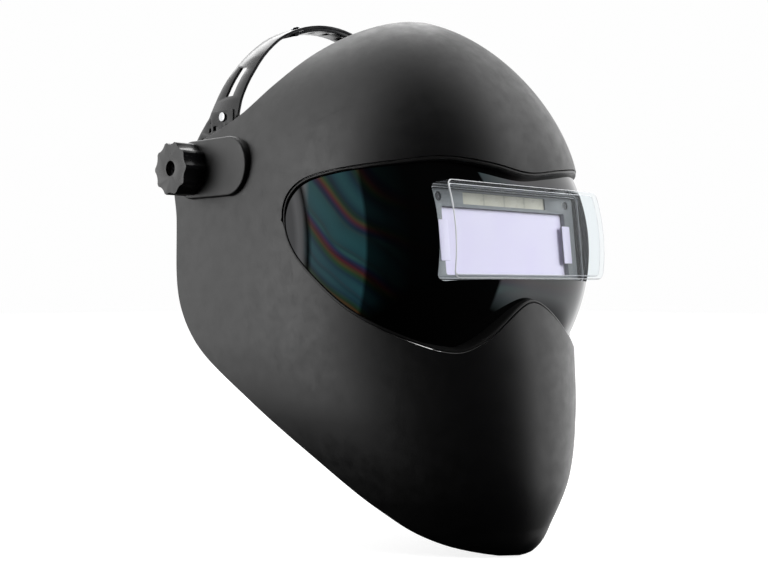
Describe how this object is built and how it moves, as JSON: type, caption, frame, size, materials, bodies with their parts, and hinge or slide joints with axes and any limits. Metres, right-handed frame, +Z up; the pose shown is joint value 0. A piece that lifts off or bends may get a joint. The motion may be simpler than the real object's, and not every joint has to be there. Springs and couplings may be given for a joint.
{
  "type": "welding helmet",
  "caption": "Welding helmet with a wrap-round visor, auto-darkening filter, tilting shell and ratchet headgear.",
  "frame": {"origin": "on the tilt axis, midway between the two pivots, at the middle of the wearer's head", "axes": "+X to the wearer's left along the tilt axis, -Y out of the face, +Z up"},
  "size_m": [0.245, 0.3135, 0.3299],
  "materials": {
    "shell": "matte",
    "visor": "gloss",
    "bezel": "satin",
    "adf_black": "satin",
    "clear_cover": "gloss",
    "case_grey": "satin",
    "filter_glass": "gloss",
    "solar": "gloss",
    "sensor": "gloss",
    "pcb": "satin",
    "dial": "satin",
    "button_red": "satin",
    "bushing": "satin",
    "steel": "satin",
    "spring_steel": "satin",
    "fibre": "matte",
    "gear_plastic": "gloss",
    "stud": "gloss",
    "knob": "satin",
    "insert": "satin",
    "pinion": "satin",
    "foam": "matte"
  },
  "bodies": {
    "headgear": {"brow_band": "gear_plastic", "side_plate_left": "gear_plastic", "side_plate_right": "gear_plastic", "crown_strap_left": "gear_plastic", "crown_strap_right": "gear_plastic", "headgear_studs": "stud", "sweatband": "foam", "tilt_limiter_left": "bushing", "tilt_limiter_right": "bushing", "friction_washers": "fibre", "spring_washers": "spring_steel", "pivot_bolts": "steel", "ratchet_base": "gear_plastic", "ratchet_cover": "gear_plastic", "ratchet_screws": "steel", "ratchet_pawl": "spring_steel", "nape_pad": "foam"},
    "shell": {"shell": "shell", "visor": "visor", "visor_bezel": "bezel", "adf_holder": "adf_black", "adf_cover_lens": "clear_cover", "adf_front_case": "case_grey", "adf_filter": "filter_glass", "solar_cell": "solar", "arc_sensors": "sensor", "adf_circuit_board": "pcb", "adf_rear_case": "adf_black", "adf_batteries": "steel", "adf_inner_cover": "clear_cover", "adf_clips": "spring_steel", "pivot_bushing_left": "bushing", "pivot_bushing_right": "bushing", "stop_pins": "steel"},
    "knob_left": {"knob_left": "knob", "knob_insert_left": "insert"},
    "knob_right": {"knob_right": "knob", "knob_insert_right": "insert"},
    "ratchet_knob": {"ratchet_knob": "knob", "ratchet_pinion": "pinion"},
    "rack_left": {"rack_strap_left": "gear_plastic"},
    "rack_right": {"rack_strap_right": "gear_plastic"},
    "shade_dial": {"shade_dial": "dial"},
    "sensitivity_dial": {"sensitivity_dial": "dial"},
    "delay_dial": {"delay_dial": "dial"},
    "test_button": {"test_button": "button_red"}
  },
  "joints": [
    {"name": "face_lift", "type": "hinge", "parent": "headgear", "child": "shell", "pos_m": [0, 0, 0], "axis": [-1, 0, 0], "range_deg": [0, 70]},
    {"name": "knob_left_turn", "type": "hinge", "parent": "headgear", "child": "knob_left", "pos_m": [0.115, 0, 0], "axis": [1, 0, 0], "range_deg": [-180, 180]},
    {"name": "knob_right_turn", "type": "hinge", "parent": "headgear", "child": "knob_right", "pos_m": [-0.115, 0, 0], "axis": [-1, 0, 0], "range_deg": [-180, 180]},
    {"name": "ratchet_turn", "type": "hinge", "parent": "headgear", "child": "ratchet_knob", "pos_m": [0, 0.10366, -0.03368], "axis": [0, 0.9511, -0.309], "range_deg": [-136, 136]},
    {"name": "rack_left_draw", "type": "hinge", "parent": "headgear", "child": "rack_left", "pos_m": [0, 0.01332, -0.00433], "axis": [0, 0.309, 0.9511], "range_deg": [-10.3, 10.3]},
    {"name": "rack_right_draw", "type": "hinge", "parent": "headgear", "child": "rack_right", "pos_m": [0, 0.01332, -0.00433], "axis": [0, 0.309, 0.9511], "range_deg": [-10.3, 10.3]},
    {"name": "shade_turn", "type": "hinge", "parent": "shell", "child": "shade_dial", "pos_m": [-0.032, -0.13786, -0.08113], "axis": [0, 0.9945, -0.1045], "range_deg": [-135, 135]},
    {"name": "sensitivity_turn", "type": "hinge", "parent": "shell", "child": "sensitivity_dial", "pos_m": [0, -0.13786, -0.08113], "axis": [0, 0.9945, -0.1045], "range_deg": [-135, 135]},
    {"name": "delay_turn", "type": "hinge", "parent": "shell", "child": "delay_dial", "pos_m": [0.032, -0.13786, -0.08113], "axis": [0, 0.9945, -0.1045], "range_deg": [-135, 135]},
    {"name": "test_press", "type": "slide", "parent": "shell", "child": "test_button", "axis": [0, -0.9945, 0.1045], "range_m": [0, 0.001], "stiffness_N_per_m": 300, "springref_m": -0.002}
  ],
  "couplings": [
    {"joint": "rack_left_draw", "follows": "ratchet_turn", "ratio": 0.075},
    {"joint": "rack_right_draw", "follows": "ratchet_turn", "ratio": -0.075}
  ]
}
